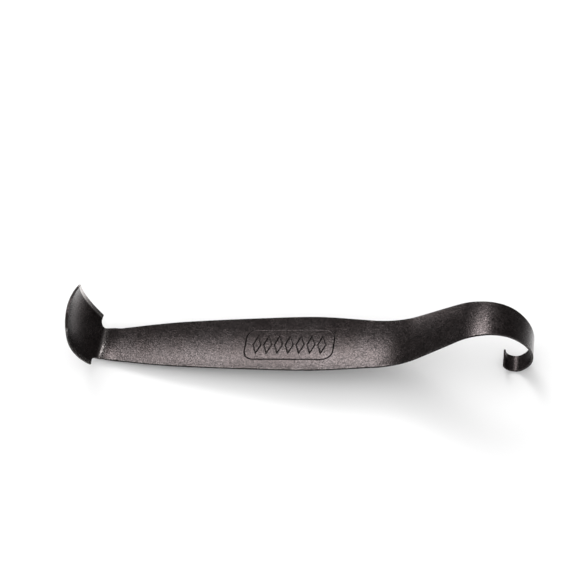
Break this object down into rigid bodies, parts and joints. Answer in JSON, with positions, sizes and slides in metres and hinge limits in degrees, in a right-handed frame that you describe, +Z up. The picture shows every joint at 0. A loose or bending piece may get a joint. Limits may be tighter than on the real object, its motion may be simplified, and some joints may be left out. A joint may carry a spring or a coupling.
{
  "type": "double-ended hand tool",
  "caption": "Double-ended steel hand tool: upturned dished scraping blade, long dished handle with an engraved panel, curled hook at the far end.",
  "frame": {"origin": "on the surface that the tool lies on, under the middle of its bounding box", "axes": "+X along the tool from the blade to the hook, +Y across it, +Z up from the surface; it lies on its heel and its curl"},
  "size_m": [0.2156, 0.0302, 0.0402],
  "materials": {
    "blackened_steel": "satin, blackened, with a fine speckled grain"
  },
  "bodies": {
    "root": {"scraper_blade": "blackened_steel", "heel_bend": "blackened_steel", "handle": "blackened_steel", "swan_neck": "blackened_steel", "crook": "blackened_steel", "curl": "blackened_steel"}
  },
  "joints": []
}
